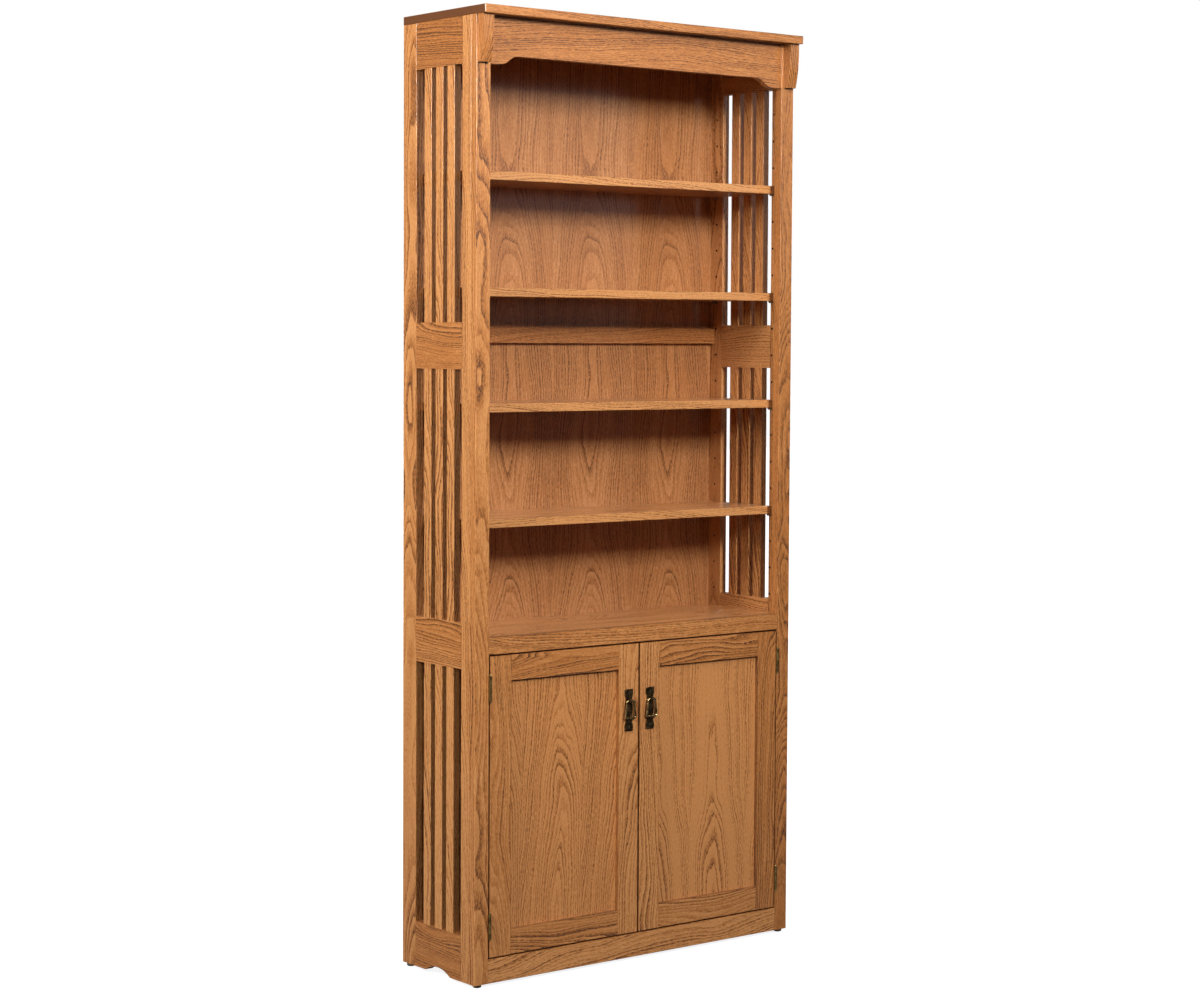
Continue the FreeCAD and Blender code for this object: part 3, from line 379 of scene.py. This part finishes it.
wholePieces = {
    "apron": dict(cut="across", heart=(0.12, 0.05), tone=0.12, seed=1.3),
    "counter_rail": dict(cut="across", heart=(-0.09, 0.04), tone=-0.08, edged=True, seed=2.1),
    "base_rail": dict(cut="across", heart=(0.05, 0.05), tone=-0.2, edged=True, seed=3.6),
    "back_rail": dict(cut="across", heart=(0.09, 0.03), seed=4.4),
    "top_board": dict(board, leaf=0.09, seed=5.2),
    # the counter board is toned lighter: painted light and sheen, standing in for the light on its top
    "counter_board": dict(board, leaf=0.085, tone=-0.45, seed=6.7),
    "floor_board": dict(board, leaf=0.085, seed=7.9),
    "cabinet_shelf": dict(board, leaf=0.08, seed=8.3),
    "upper_back": dict(veneer, ring=1.5, bold=0.6, tone=0.12, seed=9.19),
    "lower_back": dict(veneer, ring=1.2, bold=0.75, tone=0.02, seed=10.19),
    "shelf_1": dict(shelf, seed=12.37),
    "shelf_2": dict(shelf, seed=13.74),
    "shelf_3": dict(shelf, seed=15.11),
    "shelf_4": dict(shelf, seed=16.48),
}

for nodeName, look in wholePieces.items():
    dress(nodeName, **look)
print("boards, rails and backs laid on")

sides = {"left": -1, "right": 1}


def pair(left, right):  # a value that differs between the two sides
    return {"left": left, "right": right}


def panelTop(side):  # how far up a door panel shows, from its own middle
    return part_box(f"door_top_rail_{side}")[0].z - middleOf(f"door_panel_{side}").z


sideRail = dict(cut="alongSide", heart=(0.06, -0.05))
slat = dict(cut="uprightSide", heart=(0.03, -0.06), leaf=44.2 * mm, slip=9.0, bold=1.1, tone=-0.25)
# the edged pieces round the doors get painted shade along their edges
doorRail = dict(cut="across", edged=True)

# heart is the right piece's, and the left piece is cut as its mirror image
sidePieces = {
    "face_stile": dict(
        cut="upright", heart=(0.02, 0.06), seed=pair(17.7, 22.3),
        ring=pair(1.6, 0.9), bold=pair(1.2, 0.7), tone=pair(-0.05, 0.15),
    ),
    "corbel": dict(cut="upright", heart=(-0.03, 0.03), bold=1.3, seed=pair(18.7, 23.3)),
    "front_stile": dict(
        cut="uprightSide", heart=(0.05, -0.05), seed=pair(19.7, 24.3),
        tone=-0.15, bored=pinRows(-76.5 * mm),
    ),
    # the right rear stile is toned lighter than the left: painted light, for the light on its inner face
    "rear_stile": dict(
        cut="uprightSide", heart=(-0.01, -0.04), seed=pair(20.7, 25.3),
        ring=1.5, tone=pair(-0.15, -0.35), bored=pinRows(128.5 * mm),
    ),
    # the right side's rails are toned lighter than the left's: painted light, for the light on their inner
    # faces
    "top_rail": dict(sideRail, tone=pair(0.34, -0.4), seed=pair(21.7, 26.3)),
    "middle_rail": dict(sideRail, tone=pair(0.12, -0.4), seed=pair(22.7, 27.3)),
    "lower_rail": dict(sideRail, tone=pair(0.0, -0.4), seed=pair(23.7, 28.3)),
    "bottom_rail": dict(sideRail, tone=pair(0.16, -0.4), seed=pair(24.7, 29.3)),
    "open_slats": dict(slat, seed=30.5),
    "cabinet_slats": dict(slat, seed=41.5),
    "hinge_stile": dict(cut="upright", heart=(0.05, 0.06), edged=True, seed=pair(27.7, 32.3)),
    "lock_stile": dict(cut="upright", heart=(-0.04, 0.06), tone=-0.2, edged=True, seed=pair(28.7, 33.3)),
    "door_top_rail": dict(doorRail, heart=(0.04, 0.06), seed=pair(29.7, 34.3)),
    "door_bottom_rail": dict(doorRail, heart=(-0.04, 0.06), seed=pair(30.7, 35.3)),
    # the door panels get a painted shadow band under their top rails
    "door_panel": dict(
        cut="upright", heart=(-0.02, 0.05), seed=pair(31.7, 36.3), wood=warmOak,
        leaf=0.17, tone=pair(-0.34, -0.46), under=pair(panelTop("left"), panelTop("right")),
    ),
}

for side, sign in sides.items():
    for pieceName, both in sidePieces.items():
        look = {
            name: value[side] if isinstance(value, dict) and side in value else value
            for name, value in both.items()
        }
        axes = cuts[look["cut"]]
        look["heart"] = [place * sign if axis == "X" else place for place, axis in zip(look["heart"], axes)]
        dress(f"{pieceName}_{side}", **look)
print("side frames and doors laid on")

metalSet = {
    "grimeScale": 90.0,
    "grimeDetail": 4.0,
    "dentScale": 420.0,
    "dentDetail": 2.0,
    "grimeShare": 0.7,
    "dentShare": 0.5,
    "rubFrom": 0.45,  # where the dull colour turns to the bright
    "rubTo": 0.8,
    "grimeRoughness": 0.15,
    "dentDepth": 0.5 * mm,
}


def metalFinish(name, dull, bright, roughness, shine, beaten=0.35):
    finish = Finish(name)
    place = finish.node("TexCoord", {}, {})["Object"]
    grime = finish.noise(place, scale=metalSet["grimeScale"], detail=metalSet["grimeDetail"])
    dents = finish.noise(place, scale=metalSet["dentScale"], detail=metalSet["dentDetail"])
    worn = grime * metalSet["grimeShare"] + dents * metalSet["dentShare"]
    share = worn.between(metalSet["rubFrom"], metalSet["rubTo"])
    finish.coat(
        Base_Color=finish.mix(share, dull, bright),
        Metallic=shine,
        Roughness=roughness + grime * metalSet["grimeRoughness"],
    )
    finish.bump(dents, beaten, metalSet["dentDepth"])
    return finish.material


fittings = {
    "antiqueBrass": dict(
        dull=linear(104, 86, 50), bright=linear(186, 160, 100), roughness=0.26, shine=0.95,
    ),
    "darkBronze": dict(
        dull=linear(64, 52, 38), bright=linear(146, 120, 82), roughness=0.2, shine=0.95, beaten=0.7,
    ),
    "rubbedBronze": dict(
        dull=linear(120, 98, 64), bright=linear(226, 200, 148), roughness=0.16, shine=1.0, beaten=0.5,
    ),
    "screwBrass": dict(
        dull=linear(150, 128, 86), bright=linear(244, 228, 188), roughness=0.14, shine=1.0, beaten=0.1,
    ),
    "platedSteel": dict(
        dull=linear(120, 118, 112), bright=linear(176, 174, 168), roughness=0.3, shine=1.0,
    ),
    "glideNylon": dict(
        dull=linear(58, 52, 46), bright=linear(104, 98, 90), roughness=0.35, shine=0.0,
    ),
}

madeOf = {
    "frame_hinge_leaves": "antiqueBrass",
    "hinge_pins": "antiqueBrass",
    "case_screws": "antiqueBrass",
    "magnetic_catch": "glideNylon",
    "shelf_pins": "platedSteel",
    "glides": "glideNylon",
}
for side in sides:
    madeOf[f"door_hinge_leaves_{side}"] = "antiqueBrass"
    madeOf[f"door_screws_{side}"] = "screwBrass"
    madeOf[f"strike_{side}"] = "platedSteel"
    madeOf[f"pull_plate_{side}"] = "darkBronze"
    madeOf[f"pull_bail_{side}"] = "rubbedBronze"

fittingMaterials = {name: metalFinish(name, **look) for name, look in fittings.items()}
for nodeName, name in madeOf.items():
    wear(nodeName, fittingMaterials[name])
print("fittings laid on")

stage = {
    "floorSize": 40.0,
    "floorRoughness": 0.9,
    "nearShare": 0.7,  # how much of the floor's own white shows beside the glides
    "near": 0.5,
    "far": 1.8,
    "white": (1, 1, 1),
    "whiteness": 1.22,
    "seen": (0.8, 0.8, 0.8),  # the floor to the camera
    "bounced": (0.04, 0.04, 0.04),  # and to the bookcase
    "room": (0.048, 0.062, 0.1),  # the light from all round
    "mirrored": (0.16, 0.13, 0.1),  # what polish and metal see of the room
}


def paleFloor():
    bpy.ops.object.select_all(action="DESELECT")
    bpy.ops.mesh.primitive_plane_add(size=stage["floorSize"], location=(0, 0, 0))
    floor = bpy.context.object
    floor.name = "paleFloor"
    finish = Finish("paleFloor")
    place = finish.node("TexCoord", {}, {})["Object"]
    away = finish.node("VectorMath", {"operation": "LENGTH"}, {0: place})["Value"]
    seen = finish.node("LightPath", {}, {})["Is Camera Ray"]
    share = seen * (stage["nearShare"] + away.between(stage["near"], stage["far"]) * (1 - stage["nearShare"]))
    white = finish.node("Emission", {}, {"Color": stage["white"], "Strength": stage["whiteness"]})[0]
    finish.coat(
        Base_Color=finish.mix(seen, stage["bounced"], stage["seen"]),
        Roughness=stage["floorRoughness"],
    )
    shown = finish.node("MixShader", {}, {0: share, 1: Flow(finish, finish.surface.outputs[0]), 2: white})[0]
    finish.feed(finish.tree.nodes["Material Output"].inputs["Surface"], shown)
    floor.data.materials.append(finish.material)


def paleRoom():
    world = bpy.data.worlds.new("paleRoom")
    bpy.context.scene.world = world
    room = Plan(world)
    ray = room.node("LightPath", {}, {})
    dim = room.mix(ray["Is Glossy Ray"], stage["room"], stage["mirrored"])
    shown = room.mix(ray["Is Camera Ray"], dim, stage["white"])
    room.feed(room.tree.nodes["Background"].inputs["Color"], shown)


lamps = {
    "frontSoftbox": dict(
        place=(-0.5, -4.0, 2.95), aim=(-0.3, 0.0, 2.0), size=0.85, spread=120, power=80,
    ),
    "highSoftbox": dict(
        place=(0.0, -3.0, 3.8), aim=(0.0, 0.0, 1.6), size=1.8, spread=180, power=54,
    ),
    "leftSoftbox": dict(
        place=(-3.65, -0.5, 2.6), aim=(-0.4, 0.0, 1.5), size=1.2, spread=180, power=205,
    ),
    "sheenSoftbox": dict(
        place=(4.0, -4.9, 2.7), aim=(0.0, 0.0, 1.8), size=2.0, spread=180, power=6.5,
    ),
    "rightSoftbox": dict(
        place=(3.6, 1.8, 1.8), aim=(0.4, 0.0, 1.1), size=2.0, spread=180, power=85,
    ),
    "backSoftbox": dict(
        place=(0.6, 4.2, 1.2), aim=(0.0, 0.0, 1.1), size=1.8, spread=180, power=105,
    ),
}


def softLight(name, lamp):
    place = Vector(lamp["place"])
    aim = (place - Vector(lamp["aim"])).to_track_quat("Z", "Y")
    bpy.ops.object.light_add(type="AREA", location=place, rotation=aim.to_euler())
    light = bpy.context.object
    light.name = name
    light.data.shape = "SQUARE"
    light.data.size = lamp["size"]
    light.data.spread = math.radians(lamp["spread"])
    light.data.energy = lamp["power"]


cameraSet = {
    "place": (-3.6326, -4.6058, 1.4254),
    "yaw": 38.112,
    "pitch": -3.0,
    "roll": 0.292,
    "upright": 90,  # from looking straight down to looking level
    "lens": 76.27,
    "sensor": 36,
    "shift": -0.025,
    "farthest": 200,
}


def setCamera():
    turns = [math.radians(cameraSet[turn]) for turn in ("yaw", "pitch", "roll", "upright")]
    yaw, pitch, roll, upright = turns
    turned = (
        Matrix.Rotation(-yaw, 3, "Z")
        @ Matrix.Rotation(upright + pitch, 3, "X")
        @ Matrix.Rotation(roll, 3, "Z")
    )
    bpy.ops.object.camera_add(location=cameraSet["place"], rotation=turned.to_euler())
    camera = bpy.context.object
    camera.data.lens = cameraSet["lens"]
    camera.data.sensor_width = cameraSet["sensor"]
    camera.data.shift_y = cameraSet["shift"]
    camera.data.clip_end = cameraSet["farthest"]
    bpy.context.scene.camera = camera


paleFloor()
paleRoom()
for name, lamp in lamps.items():
    softLight(name, lamp)
setCamera()
bpy.context.scene.view_settings.view_transform = "Standard"
print("stage, light and camera set")
